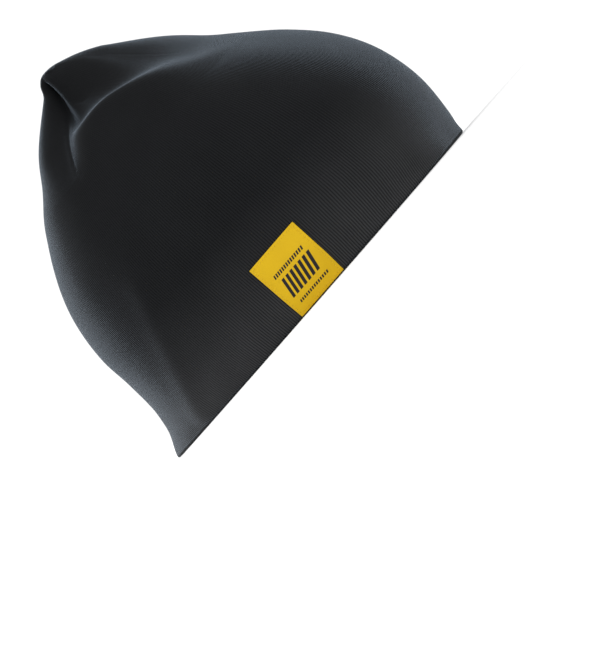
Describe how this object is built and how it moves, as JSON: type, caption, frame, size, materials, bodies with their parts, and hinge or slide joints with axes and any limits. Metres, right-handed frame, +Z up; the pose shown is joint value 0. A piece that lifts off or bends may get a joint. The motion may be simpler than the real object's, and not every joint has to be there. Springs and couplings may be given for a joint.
{
  "type": "skull cap",
  "caption": "Close-fitting knit skull cap with four crown darts, a folded rim and a square woven tag on the wearer's right side.",
  "frame": {"origin": "on the floor under the middle of the cap's bounding box, in the plane of the rim", "axes": "+Z up from the rim to the crown, -Y towards the forehead, +Y towards the nape, -X towards the wearer's right side, which carries the tag"},
  "size_m": [0.16, 0.2186, 0.1702],
  "materials": {
    "rib_knit": "matte black fine rib knit",
    "label_cloth": "yellow woven damask with a charcoal pattern"
  },
  "bodies": {
    "root": {"cap_body": "rib_knit", "label": "label_cloth"}
  },
  "joints": []
}
